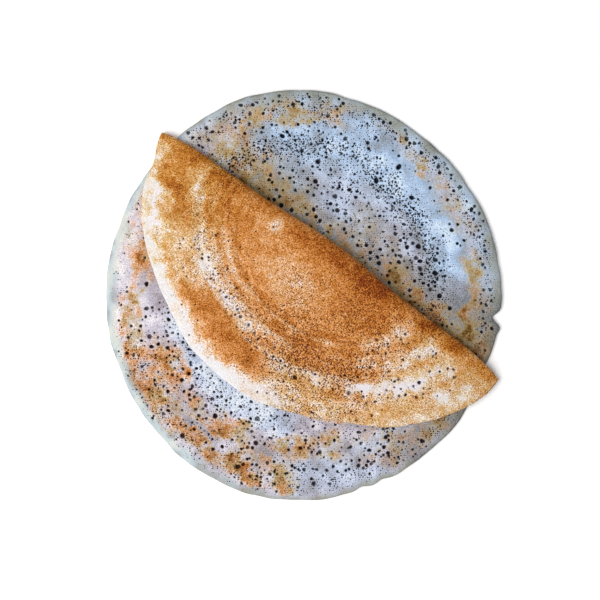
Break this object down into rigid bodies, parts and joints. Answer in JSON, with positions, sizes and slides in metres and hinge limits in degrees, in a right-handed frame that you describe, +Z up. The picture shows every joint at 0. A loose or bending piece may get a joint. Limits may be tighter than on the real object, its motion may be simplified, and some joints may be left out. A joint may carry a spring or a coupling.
{
  "type": "dosa",
  "caption": "Two thin round fermented rice pancakes: an open one lying flat, pore side up, and a folded half-moon one, browned side out, lying across it.",
  "frame": {"origin": "under the middle of the open dosa, on the surface that it lies on", "axes": "+Z up, the thin way of both dosas; +X to the right and +Y away, seen from above with the fold running from the upper left to the lower right"},
  "size_m": [0.2071, 0.215, 0.0124],
  "materials": {
    "pale_porous_crumb": "steam-set rice batter crumb, matt and full of fine pores; fabric stands in for soft bread",
    "griddle_browned_crust": "thin rice crust browned on an oiled griddle, satin; fabric stands in for soft bread"
  },
  "bodies": {
    "root": {"open_dosa": "pale_porous_crumb", "folded_dosa": "griddle_browned_crust"}
  },
  "joints": []
}
